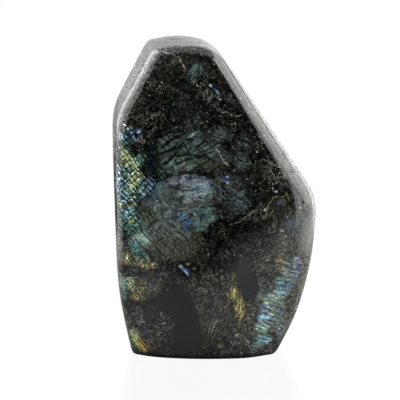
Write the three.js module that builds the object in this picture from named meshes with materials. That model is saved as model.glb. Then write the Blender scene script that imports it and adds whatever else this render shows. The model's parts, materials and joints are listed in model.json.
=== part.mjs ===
// A polished labradorite freeform, a single stone that stands on a sawn foot.
//
// The stone is a thick slab. Its front and back are ground to shallow domes, each dome's border is rolled
// over into the side wall, and the foot is sawn flat. The wall is ground almost flat and widens towards the
// back, where it rolls over into the back dome. The skin is built the same way: a row of corners goes round
// the stone, and each corner says where the dome ends, where the roll ends and how far the wall reaches.
// Columns run past the corners, from the middle of the front to the middle of the back.
//
// Millimetres. +X is to the right, +Y away from the viewer and +Z up.
// The origin is the middle of the foot, under the middle of the stone.
import * as THREE from "three";

// The stone's depth through its belly, and the height where the belly is fullest
const DEPTH = 52;
const BELLY_Z = 25;

// The point on the front and back that the columns run from and to
const HEART_X = -4;
const HEART_Z = 74;

// Radii of the domes, up and down and from side to side. The foot is rounder than the top.
const DOME_RADIUS_UP = 785;
const DOME_RADIUS_ACROSS_TOP = 250;
const DOME_RADIUS_ACROSS_FOOT = 73;
const FOOT_ROUNDNESS_FADES_OVER = 30;

// The border of the back dome, as shares of the wall's reach from the middle of the foot
const BACK_FACE = { across: 0.84, up: 0.935, lift: 2 };

// Where the wall is widest, as a share of the depth from its front edge to the back dome's border, and how
// much of its widening is done halfway there
const BELT_SHARE = 0.68;
const WALL_BOW = 0.6;

// How finely the skin is cut
const CORNER_STEPS = 4;
const EDGE_STEPS = 4;
const DOME_SHARES = [0.2, 0.4, 0.58, 0.74, 0.87, 0.96, 1];
const ROLL_STEPS = 4;
const WALL_STEPS = 4;
const BACK_ROLL_STEPS = 6;

// The corners, as seen from the front: along the foot to the right, up the right side, over the top, down
// the left side and back along the foot. Each place is [x, z].
//   belt: the side wall at its widest, which is the outline
//   brow: the crease where the front roll meets the side wall
//   face: the border of the front dome
//   ease: how far from the corner the outline starts to turn
//   roll: how deep the roll is, from the dome's border to the brow
//   crisp: 0 where the roll runs smoothly into the wall, and 1 where it is a flat chamfer
const CORNERS = [
  { belt: [18, 0], brow: [18, 0], face: [15, 2], ease: 6, roll: 1.2, crisp: 0.3 },
  { belt: [32.8, 0], brow: [31, 0], face: [21, 4], ease: 2.5, roll: 10, crisp: 0 },
  { belt: [43, 19], brow: [41.5, 19.5], face: [32, 22], ease: 10, roll: 11, crisp: 0 },
  { belt: [50.2, 45], brow: [48.5, 45.5], face: [40, 46], ease: 12, roll: 10, crisp: 0.1 },
  { belt: [52.6, 77], brow: [50.2, 79], face: [41.5, 80.5], ease: 9, roll: 8, crisp: 0.3 },
  { belt: [3.8, 149.5], brow: [3.5, 151.2], face: [-1, 150.5], ease: 4.5, roll: 6, crisp: 0.5 },
  { belt: [-3, 156.8], brow: [-3.6, 156], face: [-6, 152.8], ease: 4.5, roll: 6, crisp: 0.5 },
  { belt: [-16, 160.6], brow: [-17, 157.3], face: [-16, 153.4], ease: 9, roll: 6, crisp: 0.5 },
  { belt: [-33.9, 157.6], brow: [-31, 155], face: [-26.5, 152.6], ease: 3, roll: 6, crisp: 0.5 },
  { belt: [-52, 123], brow: [-49.6, 121.5], face: [-43.5, 121.5], ease: 9, roll: 6, crisp: 0.5 },
  { belt: [-51.8, 100], brow: [-50, 100], face: [-46.6, 100], ease: 8, roll: 5, crisp: 0.3 },
  { belt: [-49.9, 30], brow: [-48.6, 31], face: [-45.5, 33], ease: 15, roll: 6, crisp: 0.2 },
  { belt: [-43.3, 0], brow: [-41.8, 0], face: [-37, 3], ease: 2.5, roll: 6.5, crisp: 0.1 },
  { belt: [-32, 0], brow: [-32, 0], face: [-31, 2], ease: 5, roll: 1.2, crisp: 0.3 },
  { belt: [-6, 0], brow: [-6, 0], face: [-6, 2], ease: 5, roll: 1.2, crisp: 0.3 },
];

// The depth of a dome's surface behind its fullest point.
function sink(x, z) {
  const up = (z - BELLY_Z) ** 2 / (2 * DOME_RADIUS_UP);
  const extraBend = 1 / DOME_RADIUS_ACROSS_FOOT - 1 / DOME_RADIUS_ACROSS_TOP;
  const bend = 1 / DOME_RADIUS_ACROSS_TOP + extraBend * Math.exp(-z / FOOT_ROUNDNESS_FADES_OVER);
  return up + ((x - HEART_X) ** 2 * bend) / 2;
}

// A point on the front dome, or on the back dome if side is 1.
function onDome(x, z, side = -1) {
  return new THREE.Vector3(x, side * (DEPTH / 2 - sink(x, z)), z);
}

// The places of the columns. Each is a blend of a corner with its neighbours before and after.
function placeColumns() {
  const belt = CORNERS.map((c) => new THREE.Vector2(...c.belt));
  const shareOf = (i, j) => CORNERS[i].ease / belt[i].distanceTo(belt[j]);
  const columns = [];
  CORNERS.forEach((_, here) => {
    const before = (here + CORNERS.length - 1) % CORNERS.length;
    const after = (here + 1) % CORNERS.length;
    for (let step = 0; step <= CORNER_STEPS; step++) {
      const t = step / CORNER_STEPS;
      const back = (1 - t) ** 2 * shareOf(here, before);
      const on = t ** 2 * shareOf(here, after);
      columns.push([[before, back], [here, 1 - back - on], [after, on]]);
    }
    const from = shareOf(here, after);
    const to = 1 - shareOf(after, here);
    for (let step = 1; step < EDGE_STEPS; step++) {
      const on = THREE.MathUtils.lerp(from, to, step / EDGE_STEPS);
      columns.push([[here, 1 - on], [after, on]]);
    }
  });
  return columns;
}

function blend(column, value) {
  return column.reduce((sum, [corner, share]) => sum + share * value(CORNERS[corner]), 0);
}

// The points of a curve that leaves one place towards a knee and comes to the other from it.
function bow(from, knee, to, steps) {
  return new THREE.QuadraticBezierCurve3(from, knee, to).getPoints(steps).slice(1);
}

// One column's points, from beside the middle of the front to beside the middle of the back.
function columnPoints(column) {
  const at = (name) => [0, 1].map((k) => blend(column, (corner) => corner[name][k]));
  const roll = blend(column, (corner) => corner.roll);
  const crisp = blend(column, (corner) => corner.crisp);
  const [beltX, beltZ] = at("belt");
  const [browX, browZ] = at("brow");
  const [faceX, faceZ] = at("face");

  // The front roll bends where the dome would have met the wall, unless it is a chamfer
  const border = onDome(faceX, faceZ);
  const brow = new THREE.Vector3(browX, border.y + roll, browZ);
  const rollKnee = onDome(browX, browZ).lerp(border.clone().lerp(brow, 0.5), crisp);

  // The back roll leaves the wall along the wall's own line, as far as the back dome
  const backX = HEART_X + (beltX - HEART_X) * BACK_FACE.across;
  const backBorder = onDome(backX, BACK_FACE.lift + beltZ * BACK_FACE.up, 1);
  const belt = new THREE.Vector3(beltX, THREE.MathUtils.lerp(brow.y, backBorder.y, BELT_SHARE), beltZ);
  const wallKnee = brow.clone().lerp(belt, WALL_BOW);
  wallKnee.y = (brow.y + belt.y) / 2;
  const reach = (backBorder.y - belt.y) / (belt.y - wallKnee.y);
  const backKnee = belt.clone().lerp(wallKnee, -reach);

  const dome = (edge, side) =>
    DOME_SHARES.map((share) => {
      const x = THREE.MathUtils.lerp(HEART_X, edge.x, share);
      const z = THREE.MathUtils.lerp(HEART_Z, edge.z, share);
      return onDome(x, z, side);
    });
  return [
    ...dome(border, -1),
    ...bow(border, rollKnee, brow, ROLL_STEPS),
    ...bow(brow, wallKnee, belt, WALL_STEPS),
    ...bow(belt, backKnee, backBorder, BACK_ROLL_STEPS),
    ...dome(backBorder, 1).reverse().slice(1),
  ];
}

// The whole skin: columns side by side, closed by a point in the middle of the front and one of the back.
function stoneGeometry() {
  const columns = placeColumns().map(columnPoints);
  const rings = columns[0].length;
  const positions = columns.flat().flatMap((p) => p.toArray());
  const front = columns.length * rings;
  const back = front + 1;
  positions.push(...onDome(HEART_X, HEART_Z).toArray(), ...onDome(HEART_X, HEART_Z, 1).toArray());

  const faces = [];
  columns.forEach((_, c) => {
    const here = c * rings;
    const next = ((c + 1) % columns.length) * rings;
    faces.push(front, here, next);
    for (let r = 0; r < rings - 1; r++) {
      faces.push(here + r, here + r + 1, next + r + 1, here + r, next + r + 1, next + r);
    }
    faces.push(back, next + rings - 1, here + rings - 1);
  });

  const geometry = new THREE.BufferGeometry();
  geometry.setAttribute("position", new THREE.Float32BufferAttribute(positions, 3));
  geometry.setIndex(faces);
  geometry.computeVertexNormals();
  return geometry;
}

const polishedStone = new THREE.MeshStandardMaterial({ color: 0x2b302e, roughness: 0.15, metalness: 0 });

const stone = new THREE.Mesh(stoneGeometry(), polishedStone);
stone.name = "labradorite";

const part = new THREE.Group();
part.add(stone);

export default part;
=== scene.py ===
# %% [markdown]
# A polished labradorite freeform.
#
# Labradorite is a dark feldspar. Thin layers inside it bend light, so that parts of the stone flash blue,
# green and gold, while the rest stays nearly black. This stone was sawn flat underneath, ground to two
# shallow domes and polished all over, and it stands on its sawn foot. There is one solid piece and no
# stand.
#
# The work has three steps: the light and the camera, the stone's skin, and then the long one, its finish.
# The finish is where the stone comes alive, so most of this file is about the pattern inside the rock.

# %% The frame that the stone is made in
import json
import math

import bpy
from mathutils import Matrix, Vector

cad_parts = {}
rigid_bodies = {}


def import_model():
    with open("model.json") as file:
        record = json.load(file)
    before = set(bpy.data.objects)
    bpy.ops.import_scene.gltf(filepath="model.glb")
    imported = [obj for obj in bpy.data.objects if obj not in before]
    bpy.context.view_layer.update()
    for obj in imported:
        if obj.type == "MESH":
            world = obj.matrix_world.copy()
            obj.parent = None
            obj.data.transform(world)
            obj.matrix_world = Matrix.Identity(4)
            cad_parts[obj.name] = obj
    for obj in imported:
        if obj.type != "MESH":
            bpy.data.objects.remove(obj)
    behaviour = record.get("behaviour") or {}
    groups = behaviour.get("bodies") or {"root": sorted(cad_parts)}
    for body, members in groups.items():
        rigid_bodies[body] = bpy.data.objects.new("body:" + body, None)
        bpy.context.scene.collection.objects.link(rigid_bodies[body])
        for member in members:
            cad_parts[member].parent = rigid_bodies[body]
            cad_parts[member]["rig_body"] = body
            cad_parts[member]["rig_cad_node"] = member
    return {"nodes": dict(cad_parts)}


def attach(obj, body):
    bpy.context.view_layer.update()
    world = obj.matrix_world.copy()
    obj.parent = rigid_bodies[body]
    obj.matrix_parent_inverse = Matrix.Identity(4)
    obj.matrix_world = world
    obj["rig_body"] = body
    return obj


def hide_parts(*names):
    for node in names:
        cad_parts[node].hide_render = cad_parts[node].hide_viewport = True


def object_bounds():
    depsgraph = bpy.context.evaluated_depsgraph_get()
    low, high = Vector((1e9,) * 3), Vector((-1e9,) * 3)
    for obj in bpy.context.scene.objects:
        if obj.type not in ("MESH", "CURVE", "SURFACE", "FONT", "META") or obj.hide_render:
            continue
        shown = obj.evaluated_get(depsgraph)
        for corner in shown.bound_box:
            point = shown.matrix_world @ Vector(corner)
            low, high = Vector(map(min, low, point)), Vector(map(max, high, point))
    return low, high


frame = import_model()
cad_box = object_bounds()
MM = 0.001  # Blender works in metres, and this file gives places and sizes in millimetres
low, high = (corner / MM for corner in cad_box)
print("stone, in mm: from", [round(c, 1) for c in low], "to", [round(c, 1) for c in high])

# %% [markdown]
# The camera stands well back with a long lens, as a product photographer's does, because a short lens
# close by would make the stone's waist look swollen. It looks down a little, so that the foot's front
# edge shows as a shallow bow. The lens follows from the distance: it is the focal length at which the
# stone fills the frame.

# %% The camera
CAMERA_DISTANCE = 1200
CAMERA_TILT = 10  # degrees above the level
LOOK_AT = Vector((-7.4, 0, 76.9))
LENS = 213
SENSOR_WIDTH = 36


def direction(azimuth, elevation):
    """The way to a point seen from the stone: azimuth 0 is towards the camera, and 90 to the right."""
    turn = math.radians(azimuth)
    climb = math.radians(elevation)
    return Vector((math.sin(turn) * math.cos(climb), -math.cos(turn) * math.cos(climb), math.sin(climb)))


def aim(thing, place, target):
    """Puts a camera or light at a place and points it at a target, both in millimetres."""
    thing.location = place * MM
    thing.rotation_euler = (target - place).to_track_quat("-Z", "Y").to_euler()


bpy.ops.object.camera_add()
camera = bpy.context.object
camera.data.lens = LENS
camera.data.sensor_width = SENSOR_WIDTH
aim(camera, LOOK_AT + direction(0, CAMERA_TILT) * CAMERA_DISTANCE, LOOK_AT)
bpy.context.scene.camera = camera
print("camera at", [round(c / MM) for c in camera.location], "mm")

# %% [markdown]
# A polished stone shows its surroundings, so the lights are placed for what the stone reflects. The broad
# face looks at the camera's side of the room, and the middle of that side stays dark: a light there would
# lay a grey veil over the flashes.
#
# Tall softboxes at the left and the right draw the bright bands on the rolled edges. Each is made of
# panels side by side that get dimmer towards the camera, so that its band fades out and doesn't end in a
# line. Behind the left one a narrow gap stays dark, which draws the thin dark line beside the crease. A
# pale backdrop greys the side walls, which are seen nearly edge on, and a panel overhead lights the
# crest. The low panels stand for the bright studio floor beyond the table's edge. Three more, in front on
# the right, lay a soft sheen on the rolled edge of the bulge.
#
# An area light's radiance is its power over pi times its area, so the power is worked out from the
# radiance.

# %% The lights
LIGHT_DISTANCE = 900
BACKDROP_DISTANCE = 1500


def softbox(name, azimuth, elevation, width, height, radiance, distance=LIGHT_DISTANCE):
    """A soft panel that faces the stone. Width and height are in degrees, as seen from the stone."""
    bpy.ops.object.light_add(type="AREA")
    light = bpy.context.object
    light.name = name
    aim(light, LOOK_AT + direction(azimuth, elevation) * distance, LOOK_AT)
    light.data.shape = "RECTANGLE"
    light.data.size = 2 * distance * MM * math.tan(math.radians(width / 2))
    light.data.size_y = 2 * distance * MM * math.tan(math.radians(height / 2))
    light.data.energy = radiance * math.pi * light.data.size * light.data.size_y
    light.visible_camera = False
    print(f"{name}: {light.data.size:.2f} x {light.data.size_y:.2f} m, {light.data.energy:.0f} W")


# Name, azimuth, elevation, width, height and radiance
softbox("left_softbox", -120, 31, 32, 62, 7.5)
softbox("left_softbox_middle", -93, 31, 22, 62, 4.5)
softbox("left_softbox_edge", -70, 31, 24, 62, 1.8)
softbox("right_softbox", 100, 26, 56, 52, 4.6)
softbox("right_softbox_edge", 62, 26, 20, 52, 2.4)
softbox("left_floor_glow", -98, -14, 72, 24, 1.8)
softbox("right_floor_glow", 95, -13, 66, 26, 2.3)
softbox("right_front", 50, -1, 24, 16, 2.4)
softbox("right_front_low", 36, -19, 52, 20, 0.6)
softbox("right_front_lower", 44, -18, 40, 24, 0.5)
softbox("right_back_glow", 138, 26, 20, 52, 1.0)
softbox("backdrop", 180, 26, 64, 46, 1.6, distance=BACKDROP_DISTANCE)
softbox("backdrop_foot", 180, -2, 64, 12, 0.6, distance=BACKDROP_DISTANCE)
softbox("floor_behind", 167, -13, 24, 26, 1.0)
softbox("right_floor_glow_back", 144, -20, 34, 34, 1.3)
softbox("ceiling", 180, 84, 60, 48, 0.85)

# %% [markdown]
# Shader maths is easier to read as sums than as boxes and wires. This small class wraps one output of a
# node, so that 1 - mask or spot * 2 adds the Math node by itself. Anything else comes from node(), which
# takes the kind of node, its settings and what goes into its sockets. It adds to the tree that is being
# made at the time: the table's, the background's and then the stone's.

# %% Writing nodes as sums
class Wire:
    """One output of a node, ready to be added, subtracted and multiplied."""

    def __init__(self, socket):
        self.socket = socket

    def __add__(self, other):
        return maths("ADD", self, other)

    def __sub__(self, other):
        return maths("SUBTRACT", self, other)

    def __rsub__(self, other):
        return maths("SUBTRACT", other, self)

    def __mul__(self, other):
        return maths("MULTIPLY", self, other)

    def __abs__(self):
        return maths("ABSOLUTE", self)

    __radd__ = __add__
    __rmul__ = __mul__


def empty_tree(owner):
    """The node tree of a material or a world, emptied."""
    owner.use_nodes = True
    owner.node_tree.nodes.clear()
    return owner.node_tree


def node(kind, settings, sockets, output=0):
    """Adds a node, sets it, feeds its sockets with numbers or wires, and returns one of its outputs."""
    made = tree.nodes.new("ShaderNode" + kind)
    for name, value in settings.items():
        setattr(made, name, value)
    for name, value in sockets.items():
        if isinstance(value, Wire):
            tree.links.new(value.socket, made.inputs[name])
        else:
            made.inputs[name].default_value = value
    return Wire(made.outputs[output])


def maths(operation, *values):
    """A Math node."""
    return node("Math", {"operation": operation}, dict(enumerate(values)))


def vector(operation, *values):
    """A Vector Math node."""
    return node("VectorMath", {"operation": operation}, dict(enumerate(values)))


def dot(a, b):
    """How far one vector reaches along another."""
    return node("VectorMath", {"operation": "DOT_PRODUCT"}, {0: a, 1: b}, output="Value")


def times(vector_in, amount):
    """A vector made longer or shorter."""
    return node("VectorMath", {"operation": "SCALE"}, {0: vector_in, "Scale": amount})


# %% Masks and colours
def largest(a, b):
    """The larger of two masks."""
    return maths("MAXIMUM", a, b)


def rise(value, start, end):
    """0 up to start, 1 from end on, and a smooth step between. With start above end it falls."""
    settings = {"interpolation_type": "SMOOTHSTEP", "clamp": False}
    return node("MapRange", settings, {"Value": value, "From Min": start, "From Max": end})


def at_least(least, mask):
    """A mask that goes down to that least value, and still up to 1."""
    return least + mask * (1 - least)


def mix(under, over, share):
    """Over laid on under, where share is 1. The colours have sockets 6 and 7 and output 2 of a Mix node."""
    sockets = {0: share, 6: under, 7: over}
    return node("Mix", {"data_type": "RGBA", "clamp_factor": True}, sockets, output=2)


def lit(colour, amount):
    """A colour made darker, or brighter where the amount is above 1."""
    sockets = {0: amount, 6: BLACK, 7: colour}
    return node("Mix", {"data_type": "RGBA", "clamp_factor": False}, sockets, output=2)


def tell(step):
    """Prints how many nodes there are after a step."""
    print(f"{step}: {len(tree.nodes)} nodes so far")


# %% [markdown]
# The stone stands on a narrow white table with a slight gloss. What the camera sees of the table is as
# white as the background, as in a cut-out product picture, and the gloss leaves a pale mirror image of
# the stone under its foot. Light finds a plain grey sheet there, which the lower half of the broad face
# reflects as a faint haze. The room is dark for the stone too, and white only for the camera.

# %% What the table is made of
TABLE_GLOSS = 0.06
TABLE_ROUGHNESS = 0.1
GLOSS_REACH = (90, 190)  # how far from the stone's middle the gloss starts to fade, and where it is gone
TABLE_GREY = 0.2


def grey(value):
    return (value, value, value, 1)


def by_ray(seen_by_camera, seen_by_light):
    """A shader that camera rays see as one thing and all other rays as another."""
    camera_ray = node("LightPath", {}, {}, output="Is Camera Ray")
    return node("MixShader", {}, {0: camera_ray, 1: seen_by_light, 2: seen_by_camera})


white_sheet = bpy.data.materials.new("white_sheet")
tree = empty_tree(white_sheet)
white = node("Emission", {}, {})
gloss = node("BsdfGlossy", {}, {"Roughness": TABLE_ROUGHNESS})
spot = node("TexCoord", {}, {}, output="Object")
reach = node("VectorMath", {"operation": "LENGTH"}, {0: spot}, output="Value")
fading = {"From Min": GLOSS_REACH[1] * MM, "From Max": GLOSS_REACH[0] * MM, "To Max": TABLE_GLOSS}
fade = node("MapRange", {}, {"Value": reach, **fading})
polished = node("MixShader", {}, {0: fade, 1: white, 2: gloss})
paper = node("BsdfDiffuse", {}, {"Color": grey(TABLE_GREY)})
output = tree.nodes.new("ShaderNodeOutputMaterial")
tree.links.new(by_ray(polished, paper).socket, output.inputs["Surface"])
print("white sheet:", len(tree.nodes), "nodes")

# %% The table
TABLE_WIDTH = 460
TABLE_FRONT = -260
TABLE_BACK = 300

bpy.ops.mesh.primitive_plane_add(size=1, location=(0, (TABLE_FRONT + TABLE_BACK) / 2 * MM, 0))
table = bpy.context.object
table.name = "table"
table.scale = (TABLE_WIDTH * MM, (TABLE_BACK - TABLE_FRONT) * MM, 1)
bpy.ops.object.transform_apply(location=True, rotation=False, scale=True)
table.data.materials.append(white_sheet)
print("table:", [round(size / MM) for size in table.dimensions[:2]], "mm")

# %% The background
ROOM_GREY = 0.012

world = bpy.data.worlds.new("studio")
bpy.context.scene.world = world
tree = empty_tree(world)
white_paper = node("Background", {}, {"Color": grey(1)})
dark_room = node("Background", {}, {"Color": grey(ROOM_GREY)})
output = tree.nodes.new("ShaderNodeOutputWorld")
tree.links.new(by_ray(white_paper, dark_room).socket, output.inputs["Surface"])
bpy.context.scene.view_settings.view_transform = "Standard"
print("background: white to the camera, and", ROOM_GREY, "to the stone")

# %% [markdown]
# The stone's skin. The solid already has the true outline, domes and rolls, but in flat facets that a
# mirror polish would show. A sculptor might start again from a block. Here the solid itself is the better
# blank, because the foot, the crease and the outline are exact on it: a copy is welded, its triangles are
# paired into quads, and a subdivision surface rounds the facets away.
#
# Subdivision would also soften what the real stone keeps sharp. So the edges where two neighbouring faces
# meet at a clear angle are creased first: along the foot, and where the roll meets the wall.

# %% The blank: a copy of the solid
bpy.ops.object.select_all(action="DESELECT")
stone = frame["nodes"]["labradorite"].copy()
stone.data = stone.data.copy()
stone.parent = None
stone.name = "polished_stone"
stone.data.name = "polished_stone"
stone.data.materials.clear()
bpy.context.scene.collection.objects.link(stone)
stone.select_set(True)
bpy.context.view_layer.objects.active = stone
# The labels say that an object is a solid of the frame, which the copy isn't
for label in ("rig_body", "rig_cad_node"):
    if label in stone:
        del stone[label]
print("copy:", len(stone.data.vertices), "corners,", len(stone.data.polygons), "faces")

# %% Welding, and pairing triangles into quads
WELD = 0.01  # how near two corners are that are one
PAIR_BEND = 40  # degrees between two triangles that may still be paired
PAIR_SKEW = 60  # how far from square, in degrees, a pair may be

bpy.ops.object.mode_set(mode="EDIT")
bpy.ops.mesh.select_all(action="SELECT")
bpy.ops.mesh.remove_doubles(threshold=WELD * MM)
bpy.ops.mesh.tris_convert_to_quads(
    face_threshold=math.radians(PAIR_BEND), shape_threshold=math.radians(PAIR_SKEW)
)
bpy.ops.object.mode_set(mode="OBJECT")
print("blank:", len(stone.data.vertices), "corners,", len(stone.data.polygons), "faces")

# %% Creases along the foot and the brow, then the subdivision surface
SHARP_ANGLE = 18  # degrees between two faces
CREASE = 0.5
ROUNDING_LEVELS = 2

bpy.ops.object.mode_set(mode="EDIT")
bpy.ops.mesh.select_all(action="DESELECT")
bpy.ops.mesh.edges_select_sharp(sharpness=math.radians(SHARP_ANGLE))
bpy.ops.transform.edge_crease(value=CREASE)
bpy.ops.object.mode_set(mode="OBJECT")

rounding = stone.modifiers.new("rounding", "SUBSURF")
rounding.levels = ROUNDING_LEVELS
rounding.render_levels = ROUNDING_LEVELS
bpy.ops.object.modifier_apply(modifier="rounding")
bpy.ops.object.shade_smooth()
print("skin:", len(stone.data.polygons), "faces")

# %% [markdown]
# Colours are easiest to choose as they look on a screen, from 0 to 255, and the shader needs them
# linear. The flashes of a real stone are muted: even its blues and golds are greyish next to paint.

# %% The stone's colours
def screen(red, green, blue):
    """A colour chosen on the screen, made linear by the sRGB formula."""
    shares = [value / 255 for value in (red, green, blue)]
    linear = [((share + 0.055) / 1.055) ** 2.4 if share > 0.04 else share / 12.92 for share in shares]
    return (*linear, 1)


# The dark rock, from its ground to its smooth facets
BLACK = screen(0, 0, 0)
GROUND = screen(2, 2, 2)
UMBER = screen(60, 58, 48)
DEEP_BLUE = screen(16, 22, 28)
SMOOTH_GREY = screen(36, 40, 38)
SMOOTH_PALE = screen(49, 52, 51)
# Flakes, dust and healed cracks
DUST = screen(104, 105, 99)
FLAKE = screen(140, 144, 130)
BONE = screen(196, 196, 182)
FROST = screen(224, 232, 232)
# Blues
INK = screen(34, 46, 92)
COBALT = screen(54, 84, 146)
DUSK = screen(66, 76, 104)
BLUE = screen(80, 108, 144)
STEEL = screen(104, 126, 140)
SKY = screen(146, 186, 200)
PALE_BLUE = screen(142, 160, 172)
LAVENDER = screen(134, 138, 148)
PERIWINKLE = screen(136, 150, 204)
# Greens and grey greens
TEAL = screen(86, 134, 138)
TEAL_GREY = screen(84, 106, 104)
SEA = screen(98, 130, 120)
PALE_SEA = screen(134, 156, 146)
MOSS = screen(90, 109, 98)
SLATE = screen(90, 100, 98)
OLIVE_GREY = screen(84, 88, 76)
LEAF = screen(160, 180, 100)
LEAF_PALE = screen(184, 200, 156)
# Golds and browns
GOLD = screen(196, 168, 92)
OLD_GOLD = screen(160, 154, 108)
COPPER = screen(136, 100, 66)
OLIVE = screen(106, 104, 80)
BROWN = screen(126, 112, 98)

# %% [markdown]
# Places in the rock. The pattern is solid: it is worked out from where a point lies in the stone, and not
# from a picture wrapped round it, so it runs through the rolled edges as a real pattern does.
#
# Nothing in rock has a ruled border, so places are looked up in space that noise has pushed about. Most
# of these bent copies of space are bent twice, first widely and then finely. The broad one is for clouds
# of flash and the torn one for flashes with ragged borders. The wavy and the calm one are for lines, and
# the frayed one is for small marks, which have to stay where they are. A few more are made further down,
# each where it is needed.

# %% Bent space
def noise(place, size, detail=2.0, roughness=0.5, output=0, distortion=0.0):
    """Soft noise about 0.5, with lumps of about that size in millimetres."""
    sockets = {"Vector": place, "Scale": 1 / size, "Detail": detail, "Roughness": roughness}
    return node("TexNoise", {}, {**sockets, "Distortion": distortion}, output)


def bend(place, size, reach, detail=1.0):
    """Space pushed about by noise, by up to about half the reach in each direction."""
    push = vector("SUBTRACT", noise(place, size, detail, output="Color"), (0.5, 0.5, 0.5))
    return vector("ADD", place, times(push, reach))


def stretched(place, along, across, tilt):
    """Space squeezed for streaks: tilt is how far, in degrees, they rise towards the right."""
    turn = (0, math.radians(-tilt), 0)
    sockets = {"Vector": place, "Rotation": turn, "Scale": (along, across, across)}
    return node("Mapping", {"vector_type": "TEXTURE"}, sockets)


material = bpy.data.materials.new("labradorite_polish")
tree = empty_tree(material)
position = node("TexCoord", {}, {}, output="Object")
place = times(position, 1 / MM)
broad = bend(bend(place, 16, 8), 4, 4.5, detail=3)
frayed = bend(bend(place, 20, 1), 2.5, 1.6, detail=2)
wavy = bend(bend(place, 18, 5), 5, 0.9)
calm = bend(bend(place, 24, 5), 6, 0.8)
torn = bend(bend(place, 14, 2.5), 2.6, 2.2, detail=3)
# What is added to a flash as it thins out, so that its border is tattered
tatters = (noise(place, 2.2, 4, 0.65) - 0.5) * 0.12
tell("bent space")

# %% [markdown]
# One shape serves for nearly every mark on the stone. A patch is an ellipsoid in bent space, given by its
# middle, its half widths and its tilt. A wide one is a cloud of flash, and a row of long thin ones is a
# crack. A flash in many colours is a list of patches: each is laid over the ones before it, and where
# they are too dim to see, the rock underneath shows.

# %% Patches and cracks
FRONT = -22  # about where the front face lies, counted from the middle of the stone's depth
BACK = 22
DEEP = 24  # how far into the stone a patch reaches
OVERLAP = 1.5  # how much longer a part of a crack is than the way that it covers
CRACK_SOFTNESS = 0.5
COVER_START = 0.03  # how bright a flash is where it starts to hide the rock
COVER_FULL = 0.12


def nearness(space, x, z, half_x, half_z, tilt, y):
    """1 in the middle of an ellipsoid, falling evenly to 0 at its skin."""
    sockets = {
        "Vector": space,
        "Location": (x, y, z),
        "Rotation": (0, math.radians(-tilt), 0),
        "Scale": (half_x, DEEP, half_z),
    }
    inside = node("Mapping", {"vector_type": "TEXTURE"}, sockets)
    return node("TexGradient", {"gradient_type": "SPHERICAL"}, {"Vector": inside}, output="Fac")


def patch(space, x, z, half_x, half_z, tilt=0, soft=0.5, y=FRONT):
    """1 in the patch and 0 outside. Soft is the share of its radius over which it fades."""
    return rise(nearness(space, x, z, half_x, half_z, tilt, y), 0, soft)


def crack(space, points, half_width):
    """A thin line through a few points, as the largest of the thin patches between them."""
    line = None
    for (x0, z0), (x1, z1) in zip(points, points[1:]):
        half = math.hypot(x1 - x0, z1 - z0) / 2
        tilt = math.degrees(math.atan2(z1 - z0, x1 - x0))
        middle = ((x0 + x1) / 2, (z0 + z1) / 2)
        here = nearness(space, *middle, half * OVERLAP, half_width, tilt, FRONT)
        line = here if line is None else largest(line, here)
    return rise(line, 0, CRACK_SOFTNESS)


def lay(under, flashes, space, strength, y=FRONT):
    """Flashes laid over the rock in order, each a colour, a middle, half widths and, if it leans, a tilt."""
    glaze = BLACK
    for tint, *spot in flashes:
        glaze = mix(glaze, tint, patch(space, *spot, soft=0.8, y=y))
    cover = rise(node("RGBToBW", {}, {0: glaze}) + tatters, COVER_START, COVER_FULL)
    return mix(under, lit(glaze, strength), cover)


# %% [markdown]
# Labradorite parts along flat planes, so the flashes are cut up by dark lines. One set of lines is the
# edges of a one-dimensional Voronoi pattern, which spaces them unevenly, and two sets that cross cut a
# flash into small leaning tiles. Where the stone isn't cleaved so neatly, the dark lines are a net of
# cracks: the edges of a Voronoi pattern in stretched space. The net also gives each of its cells a random
# colour, and the numbers in it make the tiles differ in brightness and in tint. All lines are worn away
# in places, as they are in the stone.
#
# Within a tile the thin layers show as fine streaks. They are noise in space that is stretched along
# them. Contours are the height lines of noise, and look like a fingerprint.

# %% Lines, nets and streaks
LINE_START = 0.3  # how much of a line's width is quite dark
LINE_END = 1.1  # and where the line has faded out
NET_LINE_END = 1.2


def bands(space, spacing, tilt, width):
    """Dark lines rising to the right at that tilt, about that far apart."""
    lean = math.radians(tilt)
    across = (-math.sin(lean) / spacing, 0, math.cos(lean) / spacing)
    place_across = dot(space, across)
    settings = {"voronoi_dimensions": "1D", "feature": "DISTANCE_TO_EDGE"}
    edge = node("TexVoronoi", settings, {"W": place_across, "Scale": 1})
    return rise(edge, LINE_START * width / spacing, LINE_END * width / spacing)


def net(space, size, stretch, tilt, width):
    """A net of dark cracks round cells that are longer along the tilt, and a random colour for each cell."""
    cells = {"Vector": stretched(space, size * stretch, size, tilt), "Scale": 1}
    edge = node("TexVoronoi", {"feature": "DISTANCE_TO_EDGE"}, cells)
    dice = node("TexVoronoi", {"feature": "F1"}, cells, output="Color")
    return rise(edge, LINE_START * width / size, NET_LINE_END * width / size), dice


def worn(lines, least, size, start, end):
    """Dark lines, as dark as that least value, that fade out in places of about that size."""
    lines = at_least(least, lines)
    gaps = rise(noise(place, size, 3, 0.6), start, end)
    return lines + (1 - lines) * gaps


def contours(space, size, count, width):
    """Nested wavy lines, like the contour lines of hills of that size."""
    hills = noise(space, size, 1) * count
    return rise(maths("PINGPONG", hills, 0.5), width, 0.0)


def part_of(dice, index):
    """One of the three random numbers in a random colour."""
    return node("SeparateColor", {}, {0: dice}, output=index)


def streaks(space, along, across, tilt, start=0.3, end=0.72):
    """Fine streaks rising to the right at that tilt, mostly dark with a few bright ones."""
    fibre = noise(stretched(space, along, across, tilt), 1, 3, 0.6)
    return maths("POWER", rise(fibre, start, end), 1.5)


def pick(dice, colours):
    """One of the colours, by a random number from 0 to 1."""
    chosen = colours[0]
    for count, colour in enumerate(colours[1:], start=1):
        chosen = mix(chosen, colour, maths("GREATER_THAN", dice, count / len(colours)))
    return chosen
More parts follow.
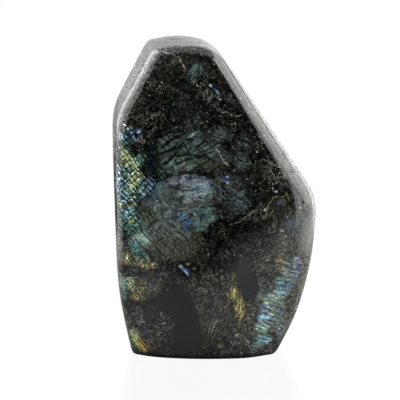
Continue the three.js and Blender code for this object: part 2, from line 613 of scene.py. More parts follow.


# %% [markdown]
# The dark rock between the flashes. It is nearly black, but never even: thin flakes catch the light as
# fine marks, in clusters. Scales and shards are noise that is stretched along one of two leaning
# directions, and a wider noise chooses which. Threads and squiggles are where noise crosses its middle
# value, which draws thin closed lines. Prints are contours, and sparks are round specks in some of the
# cells of a Voronoi pattern.
#
# The flakes lie along the broad faces. So they show on the front, less on the back, whose flashes are
# guessed, and hardly at all on the walls, which are cut across them. The same step also darkens all of the
# rock on the back and the walls as painted shade, against the stronger light that the softboxes throw on
# the sides.

# %% Flakes, threads and sparks
def specks(space, size, radius, share):
    """Small round specks, one in some of the cells of that size, and each of its own brightness."""
    cells = {"Vector": stretched(space, size, size, 0), "Scale": 1}
    away = node("TexVoronoi", {"feature": "F1"}, cells)
    dice = node("TexVoronoi", {"feature": "F1"}, cells, output="Color")
    shown = rise(part_of(dice, 0), 1 - share, 1)
    return rise(away, radius / size, 0.4 * radius / size) * shown


# Middle, half widths and, if it leans, tilt
FLAKY_PLACES = [
    (-2.4, 132.5, 10, 6, -35),
    (-33.4, 120.9, 12, 4),
    (-28.9, 138.5, 10, 3.4),
    (27, 72, 8, 9),
    (30, 93, 8, 11, -20),
]

crumpled = bend(place, 7, 6, detail=2)
# Where the marks crowd together, which way they lean, and how bright the rock is under them
clusters = rise(noise(place, 9, 4, 0.65), 0.46, 0.66) * 0.6
for flaky in FLAKY_PLACES:
    clusters = largest(clusters, patch(broad, *flaky, soft=0.8) * 0.8)
lean = rise(noise(place, 4.5, 4, 0.65), 0.44, 0.56)
murk = rise(noise(bend(place, 8, 6), 5, 5, 0.7), 0.4, 0.76)
mottle = rise(noise(crumpled, 2.2, 3, 0.6), 0.5, 0.64)
falling = noise(stretched(crumpled, 2.2, 0.6, -35), 1, 2, 0.6)
rising = noise(stretched(crumpled, 2.0, 0.55, 42), 1, 2, 0.6)
strokes = falling * lean + rising * (1 - lean)
# The marks themselves
scales = rise(strokes, 0.44, 0.62)
shards = rise(strokes, 0.56, 0.66)
squiggles = rise(abs(noise(place, 4.2, 3, 0.55, distortion=0.6) - 0.5), 0.03, 0.0)
short = rise(noise(place, 2.4, 3, 0.6), 0.5, 0.58)
threads = rise(abs(noise(crumpled, 2.6, 3, 0.6) - 0.5), 0.06, 0.01) * short
prints = contours(bend(place, 8, 6), 6, 11, 0.2)
sparks = largest(specks(frayed, 1.7, 0.5, 0.3), specks(frayed, 3.3, 0.75, 0.5))
tell("flakes")

# %% The dark rock
# Where the flakes show, and where the rock is darkened as painted shade on the back and the walls
FRONT_FLAKES_UNSHADED = (-6, -15)  # how far back the front's flakes and its unshaded rock start to show, and where they show fully
BACK_FLAKES_SHADED = (14, 22)
BACK_SHARE = 0.3

ground = mix(GROUND, DEEP_BLUE, rise(noise(place, 13, 3), 0.5, 0.7))
rock = mix(ground, UMBER, murk * (0.04 + scales * 0.25 + mottle * 0.6))
rock = mix(rock, FLAKE, shards * (0.12 + clusters * 0.7) * at_least(0.4, mottle))
rock = mix(rock, FLAKE, threads * (0.2 + clusters * 0.75))
rock = mix(rock, FLAKE, squiggles * (0.08 + clusters * 0.7))
rock = mix(rock, BONE, sparks * (0.4 + clusters * 1.1))
how_far_back = node("SeparateXYZ", {}, {0: place}, output="Y")
# Partly painted shade: the rock on the back and the walls is darkened against the stronger light of the
# softboxes there
flakes_without_side_shade = largest(rise(how_far_back, *FRONT_FLAKES_UNSHADED), rise(how_far_back, *BACK_FLAKES_SHADED) * BACK_SHARE)
colour = lit(rock, at_least(0.14, flakes_without_side_shade))
tell("dark rock")

# %% [markdown]
# Towards the foot, and most of all on the right, the rock is dusty: a brownish grey, drawn in fine marks
# with pale glints among them. Along the right rim the dust lies in long arcs that follow the rolled edge,
# and where the bulge is widest it turns to a blue grey.

# %% Dusty rock
# Middle, half widths, tilt and strength
DUSTY_PLACES = [
    (-33, 16, 20, 18, 0, 0.75),
    (0, 30, 24, 28, 0, 0.5),
    (36, 36, 24, 44, 0, 0.85),
    (20, 14, 18, 18, 0, 1.1),
    (-46, 58, 5, 14, 0, 0.6),
    (-34, 38, 14, 12, 0, 0.5),
    (29, 94, 8, 8, 0, 0.35),
]
RIM_DUST = [
    (DUST, 46, 60, 7, 16),
    (DUST, 43.4, 36, 8, 18, 14),
    (DUST, 36.6, 14, 8, 15, 26),
    (STEEL, 39, 68.6, 5, 5),
]
RIM = -14  # about where the rolled edge lies, counted as FRONT is

dusty = 0.0
for *spot, strength in DUSTY_PLACES:
    dusty = largest(patch(broad, *spot, soft=0.7) * strength, dusty)
powder = 0.16 + mottle * 0.22 + shards * 0.7 + threads * 0.9 + prints * 0.15 + sparks * 1.2
colour = mix(colour, DUST, dusty * powder)
colour = mix(colour, BONE, dusty * (sparks * 0.9 + squiggles * 0.5))
arcs = streaks(wavy, 6, 0.7, 72, 0.34, 0.66)
for tint, *spot in RIM_DUST:
    colour = mix(colour, tint, patch(broad, *spot, soft=0.8, y=RIM) * (0.3 + arcs * 0.5))
tell("dusty rock")

# %% [markdown]
# The first flash is the wide grey-green cloud left of the middle. It is calm, so the dark lines are
# clearest here: fine ones that fall to the right, and fainter ones that cross them. Below it the edge
# turns to gold. In this list, as in all that follow, each patch lies over the ones before it.

# %% The wide cloud
# Colour, middle, half widths and, if it leans, tilt
CLOUD = [
    (SLATE, -26, 68, 29, 26),
    (OLIVE_GREY, -20, 58, 21, 12, -10),
    (OLIVE_GREY, -35, 74, 11, 9),
    (TEAL_GREY, -27, 86, 15, 11),
    (SLATE, -24, 78, 15, 11),
    (PALE_SEA, -37, 61, 7, 6, -35),
    (SEA, -40, 55, 4.6, 8.5, 20),
    (TEAL, -40.6, 57, 2.6, 4.5, 20),
    (STEEL, -37, 51.4, 7, 4.4),
    (OLIVE, -40, 48.6, 10, 3.6),
    (OLD_GOLD, -33.2, 47.2, 5.4, 1.2, 8),
]

hatch = bands(wavy, 2.3, -48, 0.3)
counter = bands(calm, 4.4, 44, 0.32)
tone = noise(place, 2.4, 4, 0.6)
fibres = streaks(calm, 3.2, 0.45, -48, 0.25, 0.75)
cracked = rise(abs(noise(wavy, 3.6, 3, 0.6) - 0.5), 0.02, 0.0)
cloud_strength = rise(tone, 0.3, 0.7) * 0.9 + 1.1
cloud_strength *= 0.6 + fibres * 1.6
cloud_strength *= 1 - cracked * 0.6
cloud_strength *= worn(hatch, 0.2, 5, 0.46, 0.6)
cloud_strength *= worn(counter, 0.2, 6, 0.42, 0.56)
colour = lay(colour, CLOUD, broad, cloud_strength)
tell("wide cloud")

# %% [markdown]
# The left edge has the finest flash: small tiles in leaf green, sea green, blue and near white, cut by
# steep lines and by others that cross them. Each tile takes its own brightness and part of its tint from
# the random colour of its cell. Above the tiles sits a small cluster in blue, and a dark gap parts both
# from the middle of the stone.

# %% The left edge
LEFT_FLASHES = [
    (SEA, -44, 88, 9, 27),
    (SEA, -42, 69, 9, 11),
    (STEEL, -35, 86, 8, 10, -35),
    (BLACK, -29.6, 106, 7, 15, -12),
    (BLACK, -35, 108.6, 9, 3.4, -10),
    (TEAL_GREY, -41.6, 113.4, 9, 7, -10),
    (BLUE, -40.6, 114, 6, 4.4, -10),
    (BROWN, -36.6, 110, 3.4, 1.6, -20),
    (TEAL, -45.4, 110, 3, 3.4),
    (PALE_SEA, -43.8, 115.8, 2.6, 1.3),
    (FROST, -44.6, 117.6, 2.4, 0.8, -10),
    (GOLD, -42.4, 117.4, 1.1, 0.8),
    (INK, -43.4, 113.2, 3.2, 1.3, -10),
    (INK, -39, 113.4, 2.2, 2.6),
    (SKY, -37.6, 115, 1.3, 1.7),
    (PALE_BLUE, -47, 111.6, 2, 2.6),
    (SEA, -38.6, 99.8, 4.4, 8, -50),
    (LEAF_PALE, -42, 99.6, 13, 3, -53),
    (LEAF, -43, 100.6, 6, 1.6, -53),
    (GOLD, -45.4, 101, 2.2, 1.3),
    (LEAF_PALE, -44.2, 98.4, 1.7, 1.8),
    (INK, -42.6, 95.6, 4, 1.3, -20),
    (BLUE, -46.6, 88.6, 4.4, 11),
    (LEAF_PALE, -41, 89.6, 4.2, 7, -30),
    (SEA, -37.6, 86, 3, 6, -45),
    (SKY, -44.6, 82, 4.4, 3, -45),
    (SEA, -38, 50.6, 10, 4.6, 8),
    (OLIVE, -35, 48.6, 10, 3.4, 8),
    (OLD_GOLD, -33.4, 48, 7, 2.2, 12),
    (OLIVE, -43, 51, 6.6, 6.4),
    (LEAF_PALE, -44.4, 51.6, 2.4, 3),
    (GOLD, -44.4, 48.6, 3.4, 1.2),
    (GOLD, -43.6, 77.8, 5.4, 1.1, -4),
    (SKY, -43.4, 74, 4.6, 4, -30),
    (LEAF, -41.6, 69.6, 2.4, 1.5),
    (TEAL, -31.6, 104.2, 2.6, 1.3),
    (LEAF_PALE, -29.8, 104.2, 1.3, 1.2),
    (INK, -32.4, 94.4, 4, 1.8, -10),
]
TILE_TINTS = [SEA, LEAF_PALE, STEEL, TEAL, INK, FROST, LEAF]
TILES_PLACE = (-44, 89, 7, 19)

steep = bands(wavy, 1.9, -52, 0.4)
cross = bands(wavy, 2.5, 44, 0.36)
tile_edge, tile_dice = net(wavy, 0.75, 1.7, -50, 0.2)
tile_tint = pick(part_of(tile_dice, 1), TILE_TINTS)
left_strength = maths("POWER", part_of(tile_dice, 0), 1.6) * 6.0 + 0.6
left_strength *= 0.6 + fibres * 0.9
left_strength *= at_least(0.5, tile_edge)
left_strength *= worn(steep, 0.04, 5, 0.5, 0.66) * worn(cross, 0.06, 4, 0.5, 0.64)
colour = lay(colour, LEFT_FLASHES, torn, left_strength)
tiles_here = patch(torn, *TILES_PLACE)
colour = mix(colour, lit(tile_tint, left_strength), tiles_here * 0.4)
tell("left edge")

# %% [markdown]
# The middle is calmer. Its upper part is moss green, cut by two sets of lines and by two nets, a fine and
# a wide one. A few long cracks run over it, which are drawn one by one further down.

# %% The moss-green net
NET_FLASHES = [
    (MOSS, -19, 104, 15, 16, -15),
    (MOSS, -24, 109, 8, 10, -25),
    (MOSS, -10, 104, 15, 13),
    (SLATE, 0, 104, 13, 11, -10),
    (OLIVE_GREY, -1, 98, 12, 7, -10),
    (TEAL_GREY, -11, 111, 8, 8),
    (SLATE, -4, 108, 7, 6),
    (MOSS, -22, 99, 8, 10, -30),
    (SLATE, -13, 98, 8, 5),
    (MOSS, -12, 99, 6, 4),
]

fine_net, fine_dice = net(wavy, 1.8, 2.2, 28, 0.2)
wide_net, wide_dice = net(wavy, 2.6, 2.8, 27, 0.3)
rising_lines = bands(bend(bend(place, 24, 5), 9, 3), 3.6, 27, 0.42)
falling_lines = bands(calm, 5, -44, 0.4)
net_strength = rise(tone, 0.3, 0.7) * 0.9 + 0.9
net_strength *= 0.7 + part_of(fine_dice, 0) * 0.6
net_strength *= at_least(0.6, fine_net)
net_strength *= at_least(0.35, wide_net)
net_strength *= 0.9 + part_of(wide_dice, 0) * 0.6
net_strength *= worn(rising_lines, 0.06, 5, 0.44, 0.56)
net_strength *= worn(falling_lines, 0.1, 5, 0.46, 0.6)
net_strength *= 1 - cracked * 0.6
colour = lay(colour, NET_FLASHES, broad, net_strength)
tell("moss-green net")

# %% [markdown]
# Below the net lies a cloud of lavender and pale blue that is drawn out level, with a deep blue spot
# under it and green at its lower edge.

# %% The level cloud
LEVEL_FLASHES = [
    (SLATE, -13, 83, 22, 13),
    (SLATE, -8, 74, 15, 11),
    (LAVENDER, -15, 90.2, 14, 5.2, 4),
    (BLUE, -12.6, 92.6, 3.6, 1),
    (PALE_BLUE, -7, 88.4, 11, 4.2, -4),
    (PALE_SEA, -9.2, 83.8, 13.5, 4.2),
    (BROWN, -16.6, 87.2, 3.6, 1.2),
    (PALE_BLUE, -8, 85.4, 11, 2.4, 3),
    (LAVENDER, -12, 81, 8, 1.8, 4),
    (SLATE, -9, 78.6, 11, 3.6),
    (TEAL_GREY, -6, 75.2, 10, 5, -10),
    (SEA, -5, 77, 6, 2),
    (STEEL, -17, 72.6, 6, 6, 15),
    (BLUE, -15.6, 71.4, 3, 4, 15),
    (COBALT, -15, 70, 1.8, 2.4, 10),
    (TEAL_GREY, -8, 69, 8, 4, 12),
    (SEA, -7, 67.6, 6, 2, 16),
    (SEA, -1.4, 72.4, 3, 2.6),
]

long_dark, long_dice = net(wavy, 1.5, 4.5, 3, 0.2)
level_strength = streaks(wavy, 9, 0.55, 3, 0.3, 0.7) * 1.5 + 0.8
level_strength *= worn(long_dark, 0.2, 4, 0.42, 0.56)
level_strength *= 0.85 + part_of(long_dice, 0) * 0.3
level_strength *= 1 - cracked * 0.6
colour = lay(colour, LEVEL_FLASHES, broad, level_strength)
tell("level cloud")

# %% [markdown]
# To the right of both, the rock flows downwards in dim grey-green waves with a few brown ones. They are
# streaks in space that is bent widely, with the dark rock's shards among them.

# %% The dim flow
FLOW_FLASHES = [
    (SLATE, 12.6, 99.6, 7, 9, 20),
    (SLATE, 16, 110, 7, 8),
    (SLATE, 2, 113, 11, 6),
    (SLATE, 8, 89, 11, 7, -20),
    (SLATE, 3, 84, 8, 9),
    (BROWN, 3.4, 89.6, 4, 1.2, -30),
    (SLATE, 14, 82, 9, 9),
    (TEAL_GREY, 12, 80, 6, 5),
    (BROWN, 11, 86.4, 4, 1.4, -20),
    (SLATE, 12, 76, 10, 5),
    (SLATE, -7.5, 60.4, 9, 6, -20),
    (OLIVE, -9.4, 63.6, 6, 3, -10),
]

flow_strength = streaks(bend(place, 9, 7), 3, 0.8, -28, 0.3, 0.7) * 1.5 + shards * 0.6
colour = lay(colour, FLOW_FLASHES, broad, flow_strength)
tell("dim flow")

# %% [markdown]
# Two faint marks come next. Near the crest a small teal patch is hatched steeply, and above the foot thin
# rays of dust rise between the smooth places.

# %% A hatched patch near the crest, and rays above the foot
CREST_FLASHES = [
    (TEAL_GREY, -9.8, 144.4, 10.4, 5.6, 55),
]
RAYS_PLACE = (-1, 22, 16, 17)  # middle and half widths

hatching = streaks(calm, 7, 0.6, 60, 0.34, 0.62)
colour = lay(colour, CREST_FLASHES, torn, hatching * 2.2)
rays = streaks(bend(place, 9, 5), 5, 0.5, 48, 0.42, 0.68)
colour = mix(colour, DUST, rays * patch(broad, *RAYS_PLACE) * 0.7)
tell("crest and rays")

# %% [markdown]
# Near the foot the left edge turns olive and sea green, in fine streaks that fall to the right and are
# crossed by contours. The corner itself flashes green, then gold, then copper, like a small spray. A vein
# of old gold comes down beside the smooth places.

# %% The foot on the left, its corner and the gold vein
FOOT_FLASHES = [
    (OLIVE_GREY, -35, 36, 14, 10, -20),
    (OLIVE, -38, 33.4, 8, 7, -30),
    (SLATE, -31, 37, 5, 4),
    (OLD_GOLD, -40.4, 31, 3.4, 2.6, -30),
    (TEAL_GREY, -45.6, 33, 3, 7.4, 8),
    (PALE_SEA, -45.4, 39, 4, 6, 8),
    (LEAF_PALE, -42.2, 38.4, 2.4, 5),
]
CORNER_FLASHES = [
    (DUSK, -35.4, 14, 4.4, 4, -50),
    (LEAF_PALE, -40.4, 10, 3.4, 8, 20),
    (LEAF, -39.6, 6.8, 2, 6, 24),
    (GOLD, -37.2, 6, 2.8, 6, 24),
    (COPPER, -34.4, 5.6, 2.6, 4.4, 24),
]
GOLD_VEIN = [
    (OLIVE, 9.1, 41.5, 3.4, 6),
    (OLD_GOLD, 9, 34, 4.2, 5.6, -10),
    (OLD_GOLD, 12.3, 26.4, 4.6, 8.6),
    (OLIVE, 12.4, 18.6, 1.8, 5),
    (OLIVE, 3, 7, 3, 2, 20),
]

fan = streaks(calm, 3.5, 0.45, -50, 0.36, 0.66)
colour = lay(colour, FOOT_FLASHES, torn, (fan * 2 + 0.65) * (0.5 + prints * 1.6))
spray = streaks(calm, 6, 0.5, -60, 0.42, 0.62)
colour = lay(colour, CORNER_FLASHES, torn, spray * 2.2 + 0.15)
fibrous = streaks(calm, 3, 0.6, 76, 0.38, 0.64)
colour = lay(colour, GOLD_VEIN, torn, fibrous * 2.2 + 0.35)
tell("foot, corner and vein")

# %% [markdown]
# On the right a band of pale blue and green comes down to the foot. Short lines that fall a little to the
# right cut it across, and its tiles are long and lie along them.

# %% The band down the right
BAND_FLASHES = [
    (SLATE, 37, 44, 9, 14, 15),
    (SLATE, 30, 25, 6.6, 18, 24),
    (OLIVE, 32.6, 48.5, 5, 8),
    (OLIVE_GREY, 31.6, 45, 4, 4),
    (LAVENDER, 42, 47.5, 3, 6.4),
    (DUSK, 42.4, 46, 3, 5.4),
    (SEA, 33, 39.6, 5, 3),
    (STEEL, 34.4, 36.4, 5.4, 4.6),
    (BLUE, 35, 37.4, 2.8, 2),
    (PALE_SEA, 31.8, 31.8, 7, 4.6, 8),
    (SKY, 33, 33, 3.6, 1.6),
    (INK, 23.6, 33.4, 2.4, 1.8),
    (SLATE, 33, 26, 7, 5),
    (STEEL, 25.4, 25.6, 4.4, 3.6, 20),
    (STEEL, 24.8, 21, 6, 3.6),
    (SKY, 25.4, 21.4, 3.6, 2.2),
    (PALE_SEA, 23.8, 16, 6.4, 4.4),
    (SEA, 24.2, 9.6, 7, 5),
    (STEEL, 24.8, 9.4, 5.6, 2.4),
    (SLATE, 21, 5.6, 5, 2.4),
]
BAND_TINTS = [STEEL, PALE_SEA, SLATE, SKY, LEAF_PALE]
BAND_PLACE = (28.4, 24, 5.4, 21, 24)

short_lines = bands(bend(bend(place, 18, 5), 4, 2), 2.3, -18, 0.4)
band_edge, band_dice = net(wavy, 1.1, 3.0, -18, 0.2)
band_strength = maths("POWER", part_of(band_dice, 0), 1.4) * 2.8 + 1.45
band_strength *= worn(short_lines, 0.12, 5, 0.44, 0.6)
band_strength *= at_least(0.6, band_edge)
band_strength *= 1 - cracked * 0.5
colour = lay(colour, BAND_FLASHES, torn, band_strength)
band_tint = pick(part_of(band_dice, 1), BAND_TINTS)
band_here = patch(torn, *BAND_PLACE, soft=0.8)
colour = mix(colour, lit(band_tint, band_strength), band_here * 0.35)
tell("band")

# %% [markdown]
# Of the back nothing is known but that it is the same rock, so it gets flashes of the same kind: wide
# clouds in grey green, with blue, sea green, leaf green and old gold over them, cut by the same lines as
# the front's. Three dark gaps part them, because a flash hardly ever fills a whole face.

# %% The back
BACK_FLASHES = [
    (SLATE, 6, 92, 50, 54, 20),
    (OLIVE_GREY, -22, 46, 44, 36, -30),
    (TEAL_GREY, 12, 88, 34, 42, 20),
    (SLATE, 22, 34, 30, 26, 10),
    (SEA, 4, 104, 20, 18),
    (TEAL, 10, 90, 16, 24, 30),
    (STEEL, -4, 80, 16, 20, 10),
    (BLUE, 4, 70, 10, 9, 10),
    (SKY, 18, 102, 5, 16, 35),
    (LEAF_PALE, 28, 92, 5, 22, 20),
    (OLD_GOLD, 33, 76, 4, 11, 10),
    (STEEL, -24, 46, 14, 22, -30),
    (TEAL, -30, 36, 8, 12, -30),
    (SLATE, -12, 118, 18, 14),
    (OLIVE, -30, 80, 12, 26),
    (OLD_GOLD, -33, 76, 3, 12, -10),
    (SEA, 24, 32, 9, 14, -20),
    (BLACK, -12, 68, 26, 7, 24),
    (BLACK, 18, 58, 22, 6, -24),
    (BLACK, -14, 98, 5, 18, 16),
]

back_strength = left_strength * 0.25 + cloud_strength * 0.7
back_strength *= at_least(0.5, fine_net)
back_strength *= at_least(0.3, wide_net)
colour = lay(colour, BACK_FLASHES, broad, back_strength, y=BACK)
tell("back")

# %% [markdown]
# Two things go over the whole pattern. A few places lie in gloom, where hardly anything flashes; the one
# beside the moss-green net is deep blue. And the stone is finely grained everywhere: within a flash, too,
# some grains send back more light than their neighbours.

# %% Gloom and grain
# Colour, middle, half widths, tilt and strength
GLOOM = [
    (GROUND, 13, 64, 19, 12, 10, 0.75),
    (DEEP_BLUE, -31.6, 103, 6, 15, -15, 0.85),
    (GROUND, -15, 152.6, 14, 3.6, 0, 0.6),
    (GROUND, -17, 141, 10, 10, 0, 0.4),
    (GROUND, 24, 86, 10, 12, 0, 0.3),
    (GROUND, -3, 61, 8, 6, 0, 0.5),
    (GROUND, 9, 50.6, 8, 3.6, 0, 0.6),
]

for tint, *spot, strength in GLOOM:
    colour = mix(colour, tint, patch(broad, *spot, soft=0.8) * strength)
grain = rise(noise(place, 0.55, 1, 0.5), 0.36, 0.66)
colour = lit(colour, 0.5 + grain * 1.1)
tell("gloom and grain")

# %% [markdown]
# Some of the rock has no flakes at all. These places are an even dark grey and have straight borders,
# because there the rock has parted along its flat planes. A facet is the part of the front that lies
# inside every one of its sides, so its outline has to be convex, and a shape that isn't convex is made of
# several. The one at the left end is faint. Last, the edge above the sawn foot is painted nearly black:
# this is painted shade, where the foot meets the table.

# %% Smooth dark facets, and painted shade above the foot
# Colour, strength and corners, anticlockwise
SMOOTH_FACETS = [
    (SMOOTH_GREY, 0.7, [(-39.4, 29.4), (-35.9, 21.8), (-32.4, 16.8), (-27.4, 15.8), (-22.4, 33)]),
    (SMOOTH_GREY, 1, [(-31.4, 29.9), (-27.4, 24.9), (-19.9, 17.8), (-9.4, 15.8),
                      (-7.4, 22.3), (-11.4, 32.4), (-16.4, 38.4), (-23.9, 35.9)]),
    (SMOOTH_GREY, 1, [(-20.9, 3), (-5.4, 3), (-7.4, 22.3), (-20.4, 21.8)]),
    (SMOOTH_PALE, 1, [(14.1, 31.2), (17.6, 30.2), (21.1, 32.4), (22.8, 35.9), (22, 41), (19.4, 46),
                      (16.1, 50), (10.6, 50), (10.6, 46), (11.4, 41), (12.4, 34.9)]),
]
FACET_DEPTHS = (-6, -14)  # how far back a facet starts to show, and where it shows fully
FACET_SOFTNESS = 0.8
FOOT_SHADE = (3, 0.6)  # painted shade above the foot: where it starts, and where it is darkest


def facet(space, corners, soft):
    """1 inside a convex outline on the front."""
    inside = rise(how_far_back, *FACET_DEPTHS)
    for (x0, z0), (x1, z1) in zip(corners, corners[1:] + corners[:1]):
        length = math.hypot(x1 - x0, z1 - z0)
        inward = ((z0 - z1) / length, 0, (x1 - x0) / length)
        reach = dot(space, inward)
        border = x0 * inward[0] + z0 * inward[2]
        inside = maths("MINIMUM", inside, rise(reach, border, border + soft))
    return inside


for tint, strength, corners in SMOOTH_FACETS:
    colour = mix(colour, tint, facet(frayed, corners, FACET_SOFTNESS) * strength)
# Painted shade: the stone is darkened nearly to black just above its foot, where it meets the table
above_foot = node("SeparateXYZ", {}, {0: place}, output="Z")
colour = mix(colour, BLACK, rise(above_foot, *FOOT_SHADE) * 0.9)
tell("smooth facets")

# %% [markdown]
# Cracks. The long dark ones are where the stone has parted, and they cut through the flashes. The pale
# ones are healed with a light mineral, which crumbles away in places. All are drawn one by one, because
# their places give the stone its face.

# %% Dark cracks
DARK_CRACKS = [
    [(-29.2, 111.9), (-25.4, 113.4), (-21.4, 115.1), (-16.6, 115.6)],
    [(-27.2, 106.1), (-23.4, 108.7), (-20.3, 111.4), (-16.6, 113.5)],
    [(-27.6, 103), (-23.4, 105.5), (-18.7, 107.2), (-15, 110.1), (-11.4, 112.2), (-9.2, 113.5)],
    [(-15.6, 107.7), (-14, 105.5), (-11.9, 102.9)],
    [(-27.2, 112.4), (-24.5, 110.1), (-21.9, 108.7)],
    [(-23, 101.3), (-19.8, 102.9), (-15, 103.2), (-9.8, 102.9), (-6.1, 103.2)],
    [(-25.6, 98.6), (-22.4, 100.3), (-18.7, 105.5)],
    [(-19.2, 98.6), (-15, 100.3), (-10.3, 101.8), (-6.1, 102.4)],
    [(-27.4, 98.2), (-25, 95), (-24, 92.6)],
    [(-30.9, 89.8), (-26.6, 91), (-23.4, 92.6)],
    [(-47, 42.2), (-41, 42.4), (-34, 44.2), (-27.4, 45.8)],
]
FAINT_CRACKS = [
    [(-23.4, 92.4), (-20.3, 93.9), (-15, 95), (-9.8, 94.4), (-7.2, 93.9)],
    [(-5.9, 95.3), (-1.4, 92.3), (-0.4, 89)],
    [(-31.4, 86.2), (-27.2, 78.3), (-25.1, 72.4), (-18.7, 66.6), (-12, 56)],
    [(-34, 65.1), (-30.4, 68.8), (-26.1, 71.4), (-21.9, 72.7), (-18.7, 73.5)],
    [(-40.9, 81), (-36.1, 76.2), (-30.4, 71.4)],
    [(-40.9, 62.1), (-35.6, 56.6), (-31.9, 52)],
    [(-38.4, 66.1), (-30.4, 59.8), (-27.7, 53.5)],
    [(-24, 86.4), (-16, 86), (-8, 87.2)],
]
DARK_HALF_WIDTH = 0.6
FAINT_HALF_WIDTH = 0.44

for points in DARK_CRACKS:
    colour = mix(colour, GROUND, crack(wavy, points, DARK_HALF_WIDTH) * 0.95)
for points in FAINT_CRACKS:
    colour = mix(colour, GROUND, crack(wavy, points, FAINT_HALF_WIDTH) * 0.75)
tell("dark cracks")

# %% Pale cracks
# Strength and points
PALE_CRACKS = [
    (0.9, [(-27, 154.5), (-21.4, 152.8), (-18, 151.2), (-16.2, 148.6), (-14.8, 145.2)]),
    (0.6, [(-0.4, 127.6), (3, 124.4), (6, 125), (9, 122.6), (13, 123.2)]),
    (1.0, [(0.6, 106.6), (2.9, 103.4), (5, 100.3), (6.6, 98.6)]),
    (0.4, [(-0.3, 112), (1.8, 110.3)]),
    (0.4, [(7.6, 68.7), (12.4, 70.3), (16.4, 72.6), (19.4, 75.6)]),
    (0.6, [(24.6, 100.8), (29, 98.5), (32.9, 96.8)]),
    (0.8, [(-3.4, 12.8), (-2.8, 17), (-0.6, 19.8)]),
    (0.9, [(-1.8, 13.6), (-0.8, 17.6), (1.8, 21.4)]),
    (0.5, [(2.6, 25.4), (7.6, 29.4)]),
]
PALE_HALF_WIDTH = 0.38

crumbling = rise(noise(place, 1.3, 3, 0.6), 0.38, 0.56)
crooked = bend(bend(place, 20, 1), 3.4, 2.2, detail=3)
for strength, points in PALE_CRACKS:
    colour = mix(colour, BONE, crack(crooked, points, PALE_HALF_WIDTH) * crumbling * strength)
tell("pale cracks")

# %% [markdown]
# Small bright marks. A few flakes lie flat enough to flash white or blue on their own. The largest have a
# dark place round them and several colours.

# %% Small bright marks
SPECKS = [
    (GROUND, -0.6, 136, 6, 3, -45),
    (INK, -0.4, 136, 3.4, 1.3, -45),
    (TEAL, 1.2, 134.6, 2.2, 1.2, -45),
    (SKY, 1.4, 134.2, 1.6, 0.5, -45),
    (FROST, -2.2, 137.6, 1.5, 0.8, -50),
    (GROUND, -14, 44.8, 5, 2.4, -50),
    (COBALT, -13.6, 45.6, 2.6, 1.5, -45),
    (PERIWINKLE, -15, 45.4, 4.2, 1.1, -50),
    (FROST, -14, 44.6, 2.4, 0.5, -50),
    (SKY, -17, 47.4, 1.5, 1.2, -48),
    (LEAF_PALE, -17.2, 47.8, 1, 0.7, -48),
    (INK, -15.8, 47, 0.8, 0.8),
    (OLD_GOLD, -13.6, 49, 1, 0.8),
    (COBALT, 5.4, 91.4, 2.6, 1.8, -30),
    (FROST, 6.2, 92.6, 0.8, 0.7),
    (FROST, 6.4, 89.6, 0.7, 1),
    (FROST, 28.5, 86.2, 0.8, 0.6),
    (FROST, 30.4, 84.8, 0.8, 0.6),
    (FLAKE, 18.5, 89.3, 0.8, 0.7),
    (BONE, 21, 104.9, 0.7, 0.7),
    (BONE, -10.9, 113.2, 1.5, 0.9, 30),
    (BONE, 11.3, 12.3, 1.6, 0.8, 20),
    (FLAKE, -26.8, 22.6, 0.8, 2.2, 10),
    (FROST, 24.9, 75.9, 0.8, 1.1),
    (BONE, 33.6, 65.1, 1.3, 0.5, -15),
    (BONE, 35.4, 62.1, 0.8, 0.6),
    (SLATE, 37.4, 76, 1.4, 0.6, -20),
    (BONE, -36, 18.6, 1.8, 0.6, -8),
    (BONE, -25.5, 18, 1.5, 0.7),
    (OLD_GOLD, -16.4, 76.6, 3, 0.5, 4),
    (OLD_GOLD, -12.6, 75.2, 2.6, 0.5, 4),
    (LEAF_PALE, -10, 74.2, 0.6, 1.6, 30),
    (GROUND, -13.2, 87.5, 0.7, 0.6),
]

for tint, *spot in SPECKS:
    colour = mix(colour, tint, patch(frayed, *spot, soft=0.7))
tell("small bright marks")

# %% [markdown]
# Near the bulge the rock holds a dark blob with a ragged border, a little paler inside, and with a
# lavender gleam. Thin squiggles of old gold run along its border.

# %% The blob with a gold rim
GOLD_SQUIGGLES = [
    [(26, 73.6), (26.2, 76), (26.9, 78.4), (28.1, 80.6), (29.1, 82), (31, 82.6)],
    [(32.9, 82.2), (34.6, 82.5), (35.9, 84.2), (36.7, 80.4)],
    [(27.6, 73.2), (28.6, 75.4)],
]
BLOB = (31, 77, 6, 7)  # middle and half widths
GLEAM = (33.4, 79.6, 3.4, 2.6)
SQUIGGLE_HALF_WIDTH = 0.45

ragged = bend(bend(place, 20, 1), 5, 3, detail=3)
blob = patch(ragged, *BLOB, soft=0.2)
colour = mix(colour, GROUND, blob * 0.75)
colour = mix(colour, OLIVE_GREY, blob * (0.16 + mottle * 0.3 + threads * 0.6))
colour = mix(colour, LAVENDER, patch(ragged, *GLEAM) * (0.2 + mottle * 0.4))
for points in GOLD_SQUIGGLES:
    colour = mix(colour, OLD_GOLD, crack(frayed, points, SQUIGGLE_HALF_WIDTH) * (0.2 + crumbling * 0.6))
tell("blob")

# %% [markdown]
# The polish. It was done by hand, so the skin is not quite even: it swells a little, which makes the
# edges of the reflections wander. The rolled edge in front is finely scratched and pitted, the wall has
# faint level streaks from the grinding, and the rim of the bulge has a few nicks. Flakes, pits and nicks
# don't take the polish as well as the rest, so they are dull.
#
# All this is far too shallow to model. It is a bump, whose heights are in millimetres, and a change of
# roughness.

# %% Wear on the rolled edge and the wall
# Middle, half widths and, if it leans, tilt
NICKS = [
    (34.2, 103, 1.8, 0.5, 45),
    (35.4, 101.6, 1.8, 0.5, 50),
    (38.4, 94, 1.4, 0.5, -40),
    (44.1, 78.7, 0.9, 0.8),
    (43.6, 69, 1.4, 0.6, -50),
    (50.4, 61, 0.8, 1.6),
]
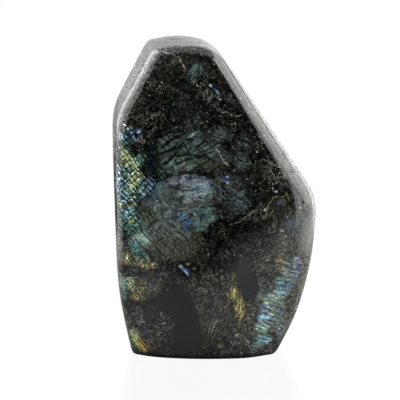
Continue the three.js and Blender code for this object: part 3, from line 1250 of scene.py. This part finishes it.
# Parts by their depth: where each starts and is full, then where it is gone and where it is still full
WALL = ((-15, -9), (17, 12))
SCRATCHED_PART = ((-19, -14), (2, -6))
PITTED_PART = ((-19, -14), (4, -8))
STREAK_SIZE = (9, 4, 1.6)


def part_between(start, end):
    """1 in the part of the stone between two depths, and 0 in front of it and behind."""
    return rise(how_far_back, *start) * rise(how_far_back, *end)


on_wall = part_between(*WALL)
drawn_out = node("Mapping", {"vector_type": "TEXTURE"}, {"Vector": place, "Scale": STREAK_SIZE})
wall_streaks = rise(noise(drawn_out, 1, 4, 0.65), 0.4, 0.7) * on_wall
rolled = part_between(*SCRATCHED_PART)
scratched = rise(noise(place, 0.8, 3, 0.6), 0.5, 0.62) * rolled
colour = mix(colour, FLAKE, scratched * 0.25)
on_rim = part_between(*PITTED_PART)
tell("wear")

# %% The finish
POLISH_ROUGHNESS = 0.05
REFRACTION = 1.56  # feldspar's index
NICK_DEPTH = 0.25

swell = noise(place, 10, 2) * 0.1 + noise(place, 0.9, 2) * 0.045 + wall_streaks * 0.12
swell -= (specks(frayed, 1.5, 0.4, 0.4) * 0.1 + threads * 0.07) * on_rim
nicked = 0.0
for spot in NICKS:
    nicked = largest(patch(frayed, *spot), nicked)
swell -= nicked * NICK_DEPTH
skin = node("Bump", {}, {"Strength": 1.0, "Distance": 1.0 * MM, "Height": swell})
pits = rise(noise(place, 1.8, 3, 0.6), 0.58, 0.75)
dull = largest(largest(squiggles * 0.2, pits * 0.25), wall_streaks * 0.3)
dull = largest(dull, largest(nicked * 0.8, threads * on_rim * 0.3))
sockets = {"Base Color": colour, "Roughness": POLISH_ROUGHNESS + dull, "IOR": REFRACTION, "Normal": skin}
surface = node("BsdfPrincipled", {}, sockets)
output = tree.nodes.new("ShaderNodeOutputMaterial")
tree.links.new(surface.socket, output.inputs["Surface"])
stone.data.materials.append(material)
tell("finish")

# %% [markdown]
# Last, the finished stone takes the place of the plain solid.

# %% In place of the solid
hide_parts("labradorite")
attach(stone, "root")
